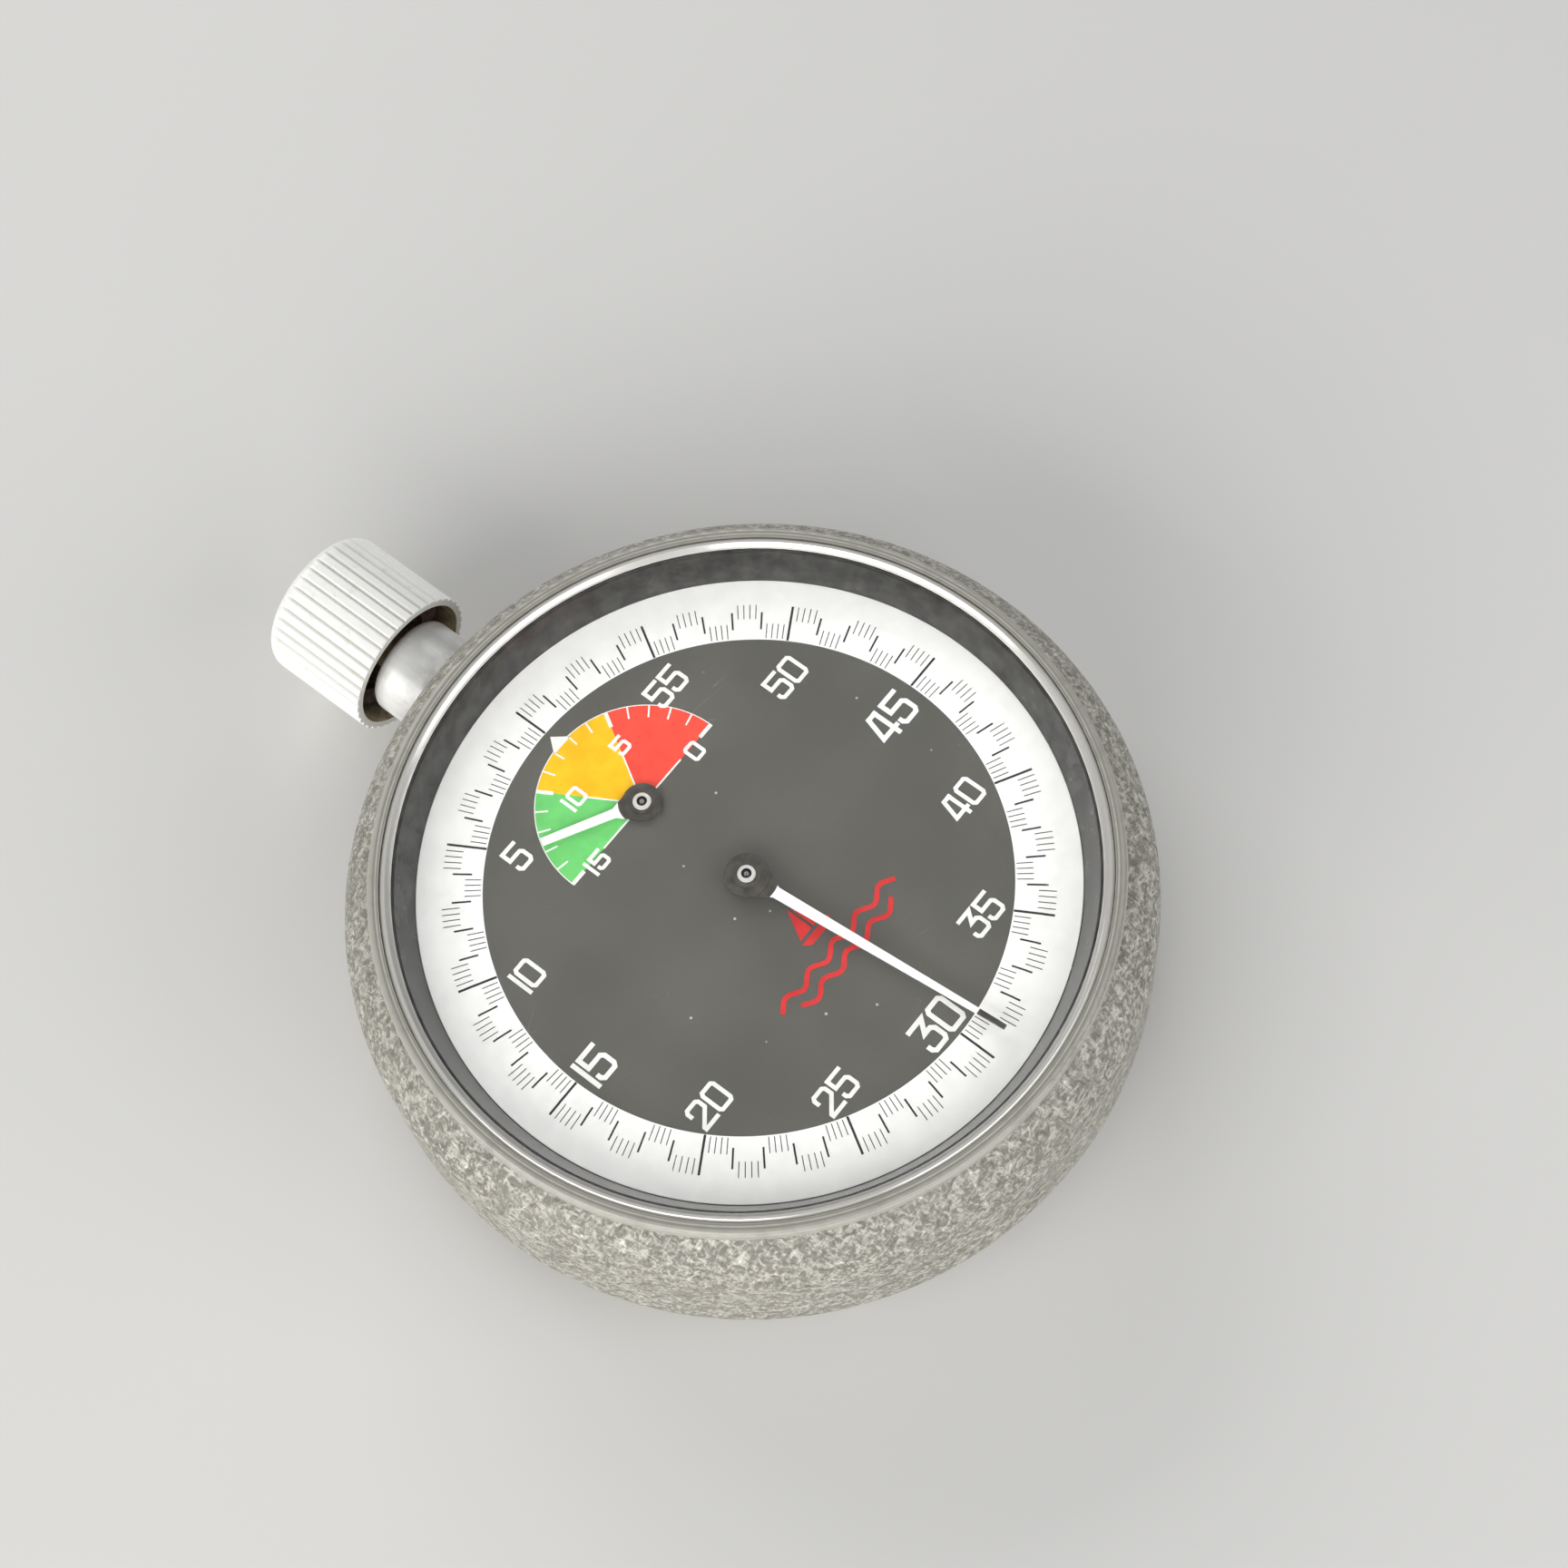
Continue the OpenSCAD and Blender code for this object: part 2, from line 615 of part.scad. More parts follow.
module minute_wheel() color([0.85, 0.72, 0.42]) {
    difference() {
        wheel(minute_at, 48, count_m, heading(minute_at, between_at), 13.38, 13.58);
        spoke_gaps(minute_at, 1.2, 4.1, 4, 0.6, 13, 14);
    }
    disc(minute_at, 0.38, 12.5, 15.45);
    disc(minute_at, 0.2, 15.44, 15.7);
    disc(minute_at, 0.22, 11.5, 12.6);
}

module seconds_heart() color([0.6, 0.6, 0.62])
    heart(seconds_at, 0.8, 1.9, seconds_shown * 6, 13.9, 14.3, 0.4);

module minute_heart() color([0.6, 0.6, 0.62])
    heart(minute_at, 0.8, 1.9, minutes_shown * 12 - 180, 13.9, 14.3, 0.4);

// hand drawn along +Y: boss, collar and tube of thickness t, and a tapering blade
module hand(boss, collar, tube, blade, w0, w1, z, t) {
    difference() {
        union() {
            translate([0, 0, z]) cylinder(r = boss, h = t);
            translate([0, 0, z]) cylinder(r = collar, h = 1.5 * t);
            translate([0, 0, z - 0.13]) cylinder(r = tube, h = 0.13 + 2.1 * t);
            translate([0, 0, z]) linear_extrude(0.8 * t)
                polygon([[-w0 / 2, 0], [w0 / 2, 0], [w1 / 2, blade], [-w1 / 2, blade]]);
            translate([0, 0, z]) linear_extrude(0.8 * t)
                polygon([[-boss * 0.72, boss * 0.69], [boss * 0.72, boss * 0.69],
                    [w0 / 2, boss * 1.45], [-w0 / 2, boss * 1.45]]);
        }
        translate([0, 0, z - 1]) cylinder(r = 0.4, h = 3);
    }
}

module seconds_hand() color([0.95, 0.95, 0.95]) rotate(seconds_shown * 6)
    hand(1.82, 1.1, 0.68, 23.3, 0.95, 0.4, dial_z + 0.75, 0.28);

module minute_hand() color([0.95, 0.95, 0.95]) at(minute_at) rotate(minutes_shown * 12 - 90)
    hand(1.6, 1, 0.7, 8.45, 0.8, 0.66, dial_z + 0.16, 0.19);

// ---- start, stop and reset work ----

module column_wheel() color([0.65, 0.66, 0.7]) difference() {
    union() {
        wheel(column_at, 18, 0.24, 0, 12.45, 12.9);
        disc(column_at, 1.2, 12.85, 13.2);
        for (i = [0 : 5]) disc(polar(column_at, 1.55, i * 60), 0.38, 12.85, 14.1);
    }
    disc(column_at, 0.65, 12, 15);
}

module operating_lever() color([0.6, 0.6, 0.62]) difference() {
    union() {
        disc(lever_at, 0.95, 12.95, 13.3);
        bar(lever_at, [-4.6, 18.4], 1, 12.95, 13.3, 1);
        bar([-4.6, 18.4], lever_pin, 1.6, 12.95, 13.3, 1);
        bar([-4.6, 18.4], [-4.35, 14.4], 1, 12.95, 13.3, 0.6);
        disc([-4.35, 14.4], 0.3, 12.5, 13);
        disc(lever_pin, 0.35, 7.5, 13);
    }
    disc(lever_at, 0.75, 12, 14);
}

module reset_hammer() color([0.6, 0.6, 0.62]) difference() {
    union() {
        bar(hammer_at, [6.2, 10.6], 2, 13.9, 14.25, 1.6);
        bar([6.2, 0], [3.2, 0], 1.4, 13.9, 14.25, 1.2);
        bar([6.2, 10.6], [3.4, 10.6], 1.4, 13.9, 14.25, 1.2);
    }
    disc(hammer_at, 0.75, 13, 15);
}

module brake_lever() color([0.6, 0.6, 0.62]) difference() {
    union() {
        bar(brake_at, [1.2, -12.3], 1.5, 6.3, 6.7, 0.8);
        disc([1.75, -12.3], 0.5, 6.3, 6.7);
    }
    disc(brake_at, 0.55, 6, 7);
}

case_body();
case_back();
back_gasket();
bezel_ring();
crystal();
rehaut();
dial();
pendant_tube();
movement_ring();
case_clamps();
clamp_screws();
main_plate();
barrel_bridge();
train_bridge();
pallet_bridge();
balance_cock();
regulator();
bridge_screws();
jewels();
crown_wheel_screw();
click_spring();
column_jumper();
hammer_spring();
lever_spring();
hairspring();
push_sleeve();
crown_cap();
crown_seal();
winding_stem();
winding_pinion();
crown_wheel();
ratchet_wheel();
barrel_arbor();
ratchet_screw();
click();
barrel_drum();
barrel_cover();
mainspring();
second_wheel();
seconds_wheel();
seconds_heart();
seconds_hand();
escape_wheel();
pallet_lever();
pallet_stones();
balance_wheel();
balance_staff();
between_wheel();
minute_wheel();
minute_heart();
minute_hand();
column_wheel();
operating_lever();
reset_hammer();
brake_lever();
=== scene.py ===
"""Looks for a hand-held yachting stopwatch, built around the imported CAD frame.

Everything is in metres in the frame of the CAD model. The dial print, which is too thin
for the CAD model, is built here from thin closed shapes that ride on the case.
"""

import json
import math

import bmesh
import bpy
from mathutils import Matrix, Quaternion, Vector


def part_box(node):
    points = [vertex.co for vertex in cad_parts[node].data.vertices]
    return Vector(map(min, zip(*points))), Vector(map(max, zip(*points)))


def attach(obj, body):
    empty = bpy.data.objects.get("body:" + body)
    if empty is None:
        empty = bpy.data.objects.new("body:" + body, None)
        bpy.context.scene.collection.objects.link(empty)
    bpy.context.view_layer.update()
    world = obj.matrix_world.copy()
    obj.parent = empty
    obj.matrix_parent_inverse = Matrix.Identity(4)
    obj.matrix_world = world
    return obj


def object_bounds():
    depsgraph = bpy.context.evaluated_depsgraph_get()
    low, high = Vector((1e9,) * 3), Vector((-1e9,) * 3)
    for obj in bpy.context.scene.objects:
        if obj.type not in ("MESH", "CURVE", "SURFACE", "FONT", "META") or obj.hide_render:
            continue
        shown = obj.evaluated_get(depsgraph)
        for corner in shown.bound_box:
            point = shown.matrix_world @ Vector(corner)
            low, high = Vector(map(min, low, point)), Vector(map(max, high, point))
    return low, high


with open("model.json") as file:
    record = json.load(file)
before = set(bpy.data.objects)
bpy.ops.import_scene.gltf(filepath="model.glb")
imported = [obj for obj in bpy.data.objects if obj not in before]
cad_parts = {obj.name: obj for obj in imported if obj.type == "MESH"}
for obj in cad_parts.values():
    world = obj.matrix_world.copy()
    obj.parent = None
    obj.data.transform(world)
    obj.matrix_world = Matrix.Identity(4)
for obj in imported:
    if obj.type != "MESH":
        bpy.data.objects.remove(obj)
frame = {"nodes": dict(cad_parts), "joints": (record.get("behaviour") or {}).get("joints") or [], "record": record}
cad_low, cad_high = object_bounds()

MM = 0.001
joints = {j["name"]: j for j in frame["joints"]}
seconds_axis = Vector(joints["sweep_turn"]["pos_m"])
counter_axis = Vector(joints["counter_turn"]["pos_m"])
crown_axis_z = joints["crown_turn"]["pos_m"][2]
dial_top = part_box("dial")[1].z
case_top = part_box("case_body")[1].z
crown_low, crown_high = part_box("crown_cap")
crown_r = crown_high.x


# ---------------------------------------------------------------- procedural materials


class Look:
    """One procedural material: a Principled shader and the nodes that feed it."""

    def __init__(self, name, **fixed):
        self.mat = bpy.data.materials.new(name)
        self.mat.use_nodes = True
        self.tree = self.mat.node_tree
        self.shader = self.tree.nodes["Principled BSDF"]
        self.place = self.add("ShaderNodeTexCoord").outputs["Object"]
        for key, value in fixed.items():
            self.shader.inputs[key.replace("_", " ")].default_value = value

    def add(self, kind, inputs=(), **settings):
        node = self.tree.nodes.new(kind)
        for key, value in settings.items():
            setattr(node, key, value)
        for key, value in dict(inputs).items():
            self.put(node.inputs[key], value)
        return node

    def put(self, socket, value):
        if isinstance(value, bpy.types.NodeSocket):
            self.tree.links.new(value, socket)
        else:
            socket.default_value = value

    def set(self, **sockets):
        for key, value in sockets.items():
            self.put(self.shader.inputs[key.replace("_", " ")], value)
        return self

    def noise(self, size, detail=3.0, rough=0.5, warp=0.0, at=None):
        """Cloudy noise whose features are about size metres across."""
        node = self.add(
            "ShaderNodeTexNoise",
            {
                "Vector": at or self.place,
                "Scale": 1 / size,
                "Detail": detail,
                "Roughness": rough,
                "Distortion": warp,
            },
        )
        return node.outputs["Fac"]

    def cells(self, size):
        """Distance to the nearest of points scattered about size metres apart."""
        node = self.add("ShaderNodeTexVoronoi", {"Vector": self.place, "Scale": 1 / size})
        return node.outputs["Distance"]

    def stretch(self, scale, turn=(0, 0, 0)):
        """Coordinates scaled by axis and turned by degrees, for noise with a direction."""
        turned = [math.radians(t) for t in turn]
        node = self.add(
            "ShaderNodeMapping", {"Vector": self.place, "Scale": scale, "Rotation": turned}
        )
        return node.outputs["Vector"]

    def calc(self, operation, a, b=0.0, c=0.0):
        node = self.add("ShaderNodeMath", {0: a, 1: b, 2: c}, operation=operation)
        return node.outputs["Value"]

    def spread(self, value, low, high, to_low=0.0, to_high=1.0):
        """value moved from low..high to to_low..to_high, held at the ends."""
        node = self.add(
            "ShaderNodeMapRange",
            {
                "Value": value,
                "From Min": low,
                "From Max": high,
                "To Min": to_low,
                "To Max": to_high,
            },
            interpolation_type="SMOOTHSTEP",
        )
        return node.outputs["Result"]

    def thread(self, value, level, width):
        """One along the thin line where value crosses level, zero elsewhere."""
        off = self.calc("ABSOLUTE", self.calc("SUBTRACT", value, level))
        return self.spread(off, 0.0, width, 1.0, 0.0)

    def mix(self, share, a, b):
        """Colour between a and b; each is a socket or three numbers."""
        node = self.add("ShaderNodeMix", data_type="RGBA")
        self.put(node.inputs["Factor"], share)
        colours = [s for s in node.inputs if s.type == "RGBA"]
        self.put(colours[0], rgba(a))
        self.put(colours[1], rgba(b))
        return next(s for s in node.outputs if s.type == "RGBA")

    def parts(self):
        node = self.add("ShaderNodeSeparateXYZ", {"Vector": self.place})
        return node.outputs["X"], node.outputs["Y"], node.outputs["Z"]

    def radius(self, cx=0.0, cy=0.0):
        """Distance from an upright axis through cx, cy."""
        x, y, _ = self.parts()
        return self.hypot(self.calc("SUBTRACT", x, cx), self.calc("SUBTRACT", y, cy))

    def hypot(self, a, b):
        total = self.calc("ADD", self.calc("MULTIPLY", a, a), self.calc("MULTIPLY", b, b))
        return self.calc("SQRT", total)

    def turned(self, r, along):
        """Coordinates in which noise makes the fine rings that a lathe leaves."""
        node = self.add("ShaderNodeCombineXYZ", {"X": r, "Y": along})
        return node.outputs["Vector"]

    def relief(self, height, depth, strength=1.0):
        node = self.add(
            "ShaderNodeBump", {"Height": height, "Distance": depth, "Strength": strength}
        )
        self.put(self.shader.inputs["Normal"], node.outputs["Normal"])
        return self


def rgba(value):
    """A colour socket as it is, or three numbers with full opacity."""
    if isinstance(value, bpy.types.NodeSocket):
        return value
    return (*value, 1.0)


def metal(name, colour, rough, grain=0.3, tint=0.12, lathe=None, metallic=1.0):
    """Bare or plated metal with fine tool marks, faint stains and softer patches.
    lathe is the axis, as x and y in metres, that the tool marks run round."""
    look = Look(name, Metallic=metallic)
    if lathe is None:
        marks = look.noise(grain * MM, 2.0, 0.6, at=look.stretch((0.15, 1.0, 1.0), (0, 0, 20)))
    else:
        rings = look.turned(look.radius(*lathe), 0.0)
        marks = look.noise(grain * MM, 3.0, 0.7, at=rings)
    stain = look.noise(3.5 * MM, 4.0, 0.55)
    smudge = look.spread(stain, 0.35, 0.7)
    dull = [c * (1 - tint) for c in colour]
    deep = [c * (1 - 2.2 * tint) * k for c, k in zip(colour, (1.0, 0.97, 0.92))]
    base = look.mix(look.spread(marks, 0.3, 0.7), dull, colour)
    base = look.mix(look.calc("MULTIPLY", smudge, 0.55), base, deep)
    gloss = look.calc("ADD", look.spread(marks, 0.25, 0.75, rough * 0.75, rough * 1.25),
                      look.calc("MULTIPLY", smudge, 0.10))
    look.set(Base_Color=base, Roughness=gloss)
    return look.relief(marks, 0.006 * MM, 0.5).mat


def lacquer(name, colour, rough, fade=0.12, fleck=0.0, coat=0.0):
    """Printed or sprayed paint: slight unevenness, a few pinholes and soft gloss changes."""
    look = Look(name, Coat_Weight=coat, Coat_Roughness=0.12, Specular_IOR_Level=0.16)
    cloud = look.noise(1.6 * MM, 4.0, 0.6)
    fine = look.noise(0.12 * MM, 2.0, 0.5)
    pale = [min(1.0, c * (1 + fade) + fade * 0.05) for c in colour]
    deep = [c * (1 - fade) for c in colour]
    base = look.mix(look.spread(cloud, 0.3, 0.7), deep, pale)
    if fleck:
        pin = look.spread(look.cells(0.7 * MM), 0.05, 0.09, 1.0, 0.0)
        base = look.mix(look.calc("MULTIPLY", pin, fleck), base, [c * 0.5 for c in colour])
    look.set(Base_Color=base, Roughness=look.spread(cloud, 0.3, 0.7, rough * 0.85, rough * 1.15))
    return look.relief(fine, 0.004 * MM, 0.4).mat


def case_look():
    """Sprayed grey texture paint on the body and a smooth lip round the crystal."""
    look = Look("case_paint", Specular_IOR_Level=0.5)
    x, y, z = look.parts()
    r = look.hypot(x, y)
    grain = look.noise(0.72 * MM, 4.0, 0.6, 1.2)
    fibre_a = look.noise(0.5 * MM, 2.0, 0.5, 1.0, at=look.stretch((0.4, 1.5, 1.0), (0, 0, 35)))
    fibre_b = look.noise(0.5 * MM, 2.0, 0.5, 1.0, at=look.stretch((1.5, 0.4, 1.0), (0, 0, 20)))
    fibre = look.calc("MAXIMUM", fibre_a, fibre_b)
    height = look.calc("ADD", look.calc("MULTIPLY", grain, 0.5), look.calc("MULTIPLY", fibre, 0.5))
    wide = look.noise(9 * MM, 2.0, 0.5)
    flake = look.spread(height, 0.45, 0.66)
    shade = look.mix(flake, (0.205, 0.195, 0.166), (0.60, 0.585, 0.52))
    shade = look.mix(look.spread(wide, 0.3, 0.75, 0.0, 0.25), shade, (0.34, 0.325, 0.28))
    pit = look.spread(grain, 0.34, 0.40, 1.0, 0.0)
    shade = look.mix(look.calc("MULTIPLY", pit, 0.6), shade, (0.13, 0.124, 0.106))
    glint = look.spread(height, 0.655, 0.70)
    shade = look.mix(glint, shade, (0.95, 0.94, 0.89))
    # the lip is smooth, a little darker, with fine streaks that run round it
    streak = look.noise(0.18 * MM, 2.0, 0.6, at=look.turned(r, z))
    patchy = look.noise(2.2 * MM, 3.0, 0.6)
    lip_tone = look.mix(look.spread(streak, 0.35, 0.65), (0.29, 0.28, 0.245), (0.50, 0.49, 0.44))
    lip_tone = look.mix(look.spread(patchy, 0.5, 0.7, 0.0, 0.45), lip_tone, (0.29, 0.28, 0.25))
    top = look.spread(z, case_top - 1.15 * MM, case_top - 0.95 * MM)
    inner = look.spread(r, LIP_OUTER, LIP_OUTER + 0.12 * MM, 1.0, 0.0)
    lip = look.calc("MULTIPLY", top, inner)
    tone = look.mix(lip, shade, lip_tone)
    rough = look.spread(flake, 0.0, 1.0, 0.62, 0.42)
    look.set(
        Base_Color=tone,
        Metallic=look.calc("MULTIPLY", flake, 0.15),
        Roughness=look.add("ShaderNodeMix", {"Factor": lip, 2: rough, 3: 0.3}).outputs[0],
    )
    body = look.calc("SUBTRACT", 1.0, lip)
    return look.relief(look.calc("MULTIPLY", height, body), 0.16 * MM, 0.8).mat


def dial_look():
    """Satin black dial, slightly warm, with dust specks and a few hair scratches."""
    look = Look("dial_satin", Specular_IOR_Level=0.2)
    cloud = look.noise(11 * MM, 3.0, 0.5)
    tone = look.mix(look.spread(cloud, 0.3, 0.75), (0.092, 0.090, 0.080), (0.116, 0.113, 0.100))
    fine = look.noise(0.09 * MM, 2.0, 0.6)
    tone = look.mix(look.spread(fine, 0.35, 0.75, 0.0, 0.3), tone, (0.15, 0.147, 0.132))
    specks = look.calc(
        "MULTIPLY",
        look.spread(look.cells(1.9 * MM), 0.035, 0.075, 1.0, 0.0),
        look.spread(look.noise(2.4 * MM, 1.0), 0.52, 0.58),
    )
    tone = look.mix(specks, tone, (0.55, 0.54, 0.5))
    hair = look.noise(5.5 * MM, 2.0, 0.4, 1.2, at=look.stretch((0.5, 1.6, 1.0), (0, 0, 28)))
    line = look.thread(hair, 0.585, 0.0035)
    line = look.calc("MULTIPLY", line, look.spread(cloud, 0.5, 0.62))
    tone = look.mix(look.calc("MULTIPLY", line, 0.4), tone, (0.3, 0.3, 0.28))
    look.set(Base_Color=tone, Roughness=look.spread(cloud, 0.3, 0.7, 0.42, 0.55))
    return look.relief(fine, 0.005 * MM, 0.6).mat


def crown_look():
    """Pale fluted aluminium with painted shade between the flutes and a tan, grimy inside that carries painted
    shade deeper in.
    """
    look = Look("crown_metal", Metallic=0.05, Specular_IOR_Level=0.6)
    x, y, z = look.parts()
    r = look.hypot(x, look.calc("SUBTRACT", z, crown_axis_z))
    fine = look.noise(0.35 * MM, 3.0, 0.6, at=look.stretch((1.0, 0.2, 1.0)))
    blot = look.noise(1.1 * MM, 4.0, 0.65)
    tone = look.mix(look.spread(fine, 0.3, 0.7), (0.95, 0.95, 0.915), (0.99, 0.99, 0.97))
    # painted shade: the hollows between the flutes are painted darker on the fluted side
    groove_shade = look.spread(r, crown_r - 0.20 * MM, crown_r - 0.03 * MM, 1.0, 0.0)
    side = look.spread(y, crown_high.y - 2.2 * MM, crown_high.y - 1.4 * MM, 1.0, 0.0)
    groove_shade = look.calc("MULTIPLY", groove_shade, side)
    tone = look.mix(look.calc("MULTIPLY", groove_shade, 0.45), tone, (0.46, 0.45, 0.40))
    rings = look.spread(look.noise(0.16 * MM, 3.0, 0.6, at=look.turned(r, y)), 0.35, 0.65)
    cap = look.spread(y, crown_high.y - 1.3 * MM, crown_high.y - 0.9 * MM, 0.0, 0.55)
    tone = look.mix(look.calc("MULTIPLY", rings, cap), tone, (0.78, 0.77, 0.73))
    dirt = look.spread(blot, 0.59, 0.69)
    tone = look.mix(look.calc("MULTIPLY", dirt, 0.34), tone, (0.70, 0.64, 0.42))
    hollow = look.calc(
        "MULTIPLY",
        look.spread(r, crown_r - 0.66 * MM, crown_r - 0.60 * MM, 1.0, 0.0),
        look.spread(y, crown_low.y + 4.5 * MM, crown_low.y + 4.9 * MM, 1.0, 0.0),
    )
    # painted shade: the tan dirt inside the crown is painted near black the deeper it goes
    deep = look.spread(y, crown_low.y + 0.5 * MM, crown_low.y + 2.6 * MM)
    grime_and_recess_shade = look.mix(look.spread(blot, 0.35, 0.65), (0.30, 0.235, 0.13), (0.62, 0.53, 0.34))
    grime_and_recess_shade = look.mix(look.calc("MULTIPLY", deep, 0.85), grime_and_recess_shade, (0.07, 0.042, 0.026))
    tone = look.mix(hollow, tone, grime_and_recess_shade)
    rough = look.calc("ADD", look.spread(fine, 0.3, 0.7, 0.36, 0.46),
                      look.calc("MULTIPLY", hollow, 0.25))
    look.set(Base_Color=tone, Roughness=rough)
    height = look.calc("ADD", fine, look.calc("MULTIPLY", blot, 0.5))
    return look.relief(height, 0.015 * MM, 0.4).mat


def neck_look():
    """Satin nickel, streaked and grey towards its root, with small pits."""
    look = Look("neck_satin", Metallic=0.2)
    _, y, _ = look.parts()
    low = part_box("pendant_tube")[0]
    streak = look.noise(0.5 * MM, 3.0, 0.6, at=look.stretch((1.0, 0.12, 1.0)))
    cloud = look.noise(1.7 * MM, 3.0, 0.6)
    root = look.spread(y, low.y + 5.0 * MM, low.y + 9.5 * MM, 1.0, 0.0)
    smudge = look.calc("MULTIPLY", root, look.spread(cloud, 0.3, 0.6, 0.3, 0.8))
    tone = look.mix(look.spread(streak, 0.3, 0.7), (0.90, 0.90, 0.88), (0.98, 0.98, 0.965))
    tone = look.mix(smudge, tone, (0.34, 0.33, 0.31))
    pits = look.spread(look.cells(3.6 * MM), 0.06, 0.085, 1.0, 0.0)
    tone = look.mix(pits, tone, (0.03, 0.028, 0.025))
    look.set(Base_Color=tone, Roughness=look.calc("ADD", look.spread(streak, 0.2, 0.8, 0.27, 0.36),
                                                  look.calc("MULTIPLY", root, 0.12)))
    return look.relief(look.calc("SUBTRACT", streak, pits), 0.02 * MM, 0.4).mat


def hand_look(name, axis, tube_r, dark_r, tip_r):
    """White hand with a black hub, a bare metal tube whose hole carries painted shade and, on the long hand, a
    black tip.
    """
    look = Look(name, Coat_Weight=0.15, Coat_Roughness=0.2)
    r = look.radius(axis.x, axis.y)
    cloud = look.noise(0.9 * MM, 3.0, 0.6)
    white = look.mix(look.spread(cloud, 0.3, 0.7), (0.92, 0.92, 0.90), (0.99, 0.99, 0.98))
    black = look.mix(look.spread(cloud, 0.3, 0.7), (0.035, 0.032, 0.027), (0.075, 0.068, 0.056))
    steel = look.mix(look.spread(cloud, 0.3, 0.7), (0.86, 0.85, 0.80), (0.97, 0.96, 0.92))
    tube = look.spread(r, tube_r, tube_r + 0.03 * MM, 1.0, 0.0)
    hub = look.spread(r, dark_r - 0.04 * MM, dark_r + 0.04 * MM, 1.0, 0.0)
    tip = look.spread(r, tip_r - 0.04 * MM, tip_r + 0.04 * MM)
    # painted shade: the hole through the tube is painted near black
    bore_shade = look.spread(r, 0.40 * MM, 0.43 * MM, 1.0, 0.0)
    tone = look.mix(look.calc("MAXIMUM", hub, tip), white, black)
    tone = look.mix(tube, tone, steel)
    tone = look.mix(bore_shade, tone, (0.03, 0.027, 0.022))
    rough = look.spread(cloud, 0.3, 0.7, 0.30, 0.42)
    look.set(Base_Color=tone, Metallic=look.calc("MULTIPLY", tube, 0.5),
             Roughness=look.calc("SUBTRACT", rough, look.calc("MULTIPLY", tube, 0.14)))
    return look.relief(look.noise(0.08 * MM, 2.0), 0.004 * MM, 0.4).mat


def arbor_look(name, axis):
    """Gilt wheel on a steel arbor; inside the hand the arbor carries painted shade, its tip is bright."""
    look = Look(name, Metallic=0.95)
    _, _, z = look.parts()
    r = look.radius(axis.x, axis.y)
    marks = look.noise(0.1 * MM, 3.0, 0.6, at=look.turned(r, z))
    steel = look.mix(look.spread(marks, 0.3, 0.7), (0.50, 0.50, 0.52), (0.70, 0.70, 0.70))
    gilt = look.mix(look.spread(marks, 0.3, 0.7), (0.68, 0.54, 0.25), (0.82, 0.66, 0.32))
    tone = look.mix(look.spread(r, 0.42 * MM, 0.50 * MM), steel, gilt)
    above = look.spread(z, dial_top, dial_top + 0.1 * MM)
    # painted shade: the arbor inside the hand's tube, above the dial, is painted near black
    shoulder_shade = look.calc("MULTIPLY", above, look.spread(r, 0.20 * MM, 0.22 * MM))
    tone = look.mix(shoulder_shade, tone, (0.035, 0.032, 0.026))
    look.set(Base_Color=tone, Roughness=look.spread(marks, 0.3, 0.7, 0.20, 0.32))
    return look.relief(marks, 0.004 * MM, 0.4).mat


def crystal_look():
    """Clear domed crystal with faint hairlines; lets light through to the dial."""
    look = Look("crystal_clear", Transmission_Weight=1.0, IOR=1.49)
    hair = look.noise(4 * MM, 3.0, 0.5, 1.5, at=look.stretch((0.4, 2.2, 1.0), (0, 0, -35)))
    line = look.thread(hair, 0.5, 0.003)
    film = look.noise(6 * MM, 4.0, 0.6)
    look.set(
        Base_Color=look.mix(look.spread(film, 0.3, 0.7), (0.985, 0.99, 0.985), (1.0, 1.0, 1.0)),
        Roughness=look.calc("ADD", look.spread(film, 0.4, 0.8, 0.0, 0.02),
                            look.calc("MULTIPLY", line, 0.04)),
    )
    look.relief(line, 0.002 * MM, 0.1)
    passing = look.add("ShaderNodeBsdfTransparent")
    path = look.add("ShaderNodeLightPath")
    both = look.add("ShaderNodeMixShader", {0: path.outputs["Is Shadow Ray"]})
    look.put(both.inputs[1], look.shader.outputs["BSDF"])
    look.put(both.inputs[2], passing.outputs["BSDF"])
    look.put(look.tree.nodes["Material Output"].inputs["Surface"], both.outputs["Shader"])
    return look.mat


def ruby_look():
    """Polished synthetic ruby, a little cloudy."""
    look = Look("ruby_polished", Transmission_Weight=0.5, IOR=1.76)
    cloud = look.noise(0.5 * MM, 3.0)
    tone = look.mix(look.spread(cloud, 0.3, 0.7), (0.45, 0.02, 0.06), (0.75, 0.06, 0.14))
    look.set(Base_Color=tone, Roughness=look.spread(cloud, 0.3, 0.7, 0.04, 0.10))
    return look.mat


def rubber_look(name, low, high):
    """Dull rubber or felt between two colours."""
    look = Look(name)
    cloud = look.noise(0.8 * MM, 5.0, 0.65)
    look.set(Base_Color=look.mix(look.spread(cloud, 0.3, 0.7), low, high),
             Roughness=look.spread(cloud, 0.3, 0.7, 0.65, 0.85))
    return look.relief(cloud, 0.02 * MM, 0.5).mat


def floor_look():
    """Pale matt table top."""
    look = Look("floor_pale", Roughness=0.6)
    cloud = look.noise(60 * MM, 3.0, 0.5)
    look.set(Base_Color=look.mix(cloud, (0.70, 0.695, 0.68), (0.735, 0.73, 0.715)))
    return look.relief(look.noise(1.2 * MM, 3.0), 0.02 * MM, 0.2).mat


# sizes of the case lip, from the bezel ring that sits inside it
LIP_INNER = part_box("bezel_ring")[1].x + 0.1 * MM
LIP_OUTER = LIP_INNER + 1.0 * MM

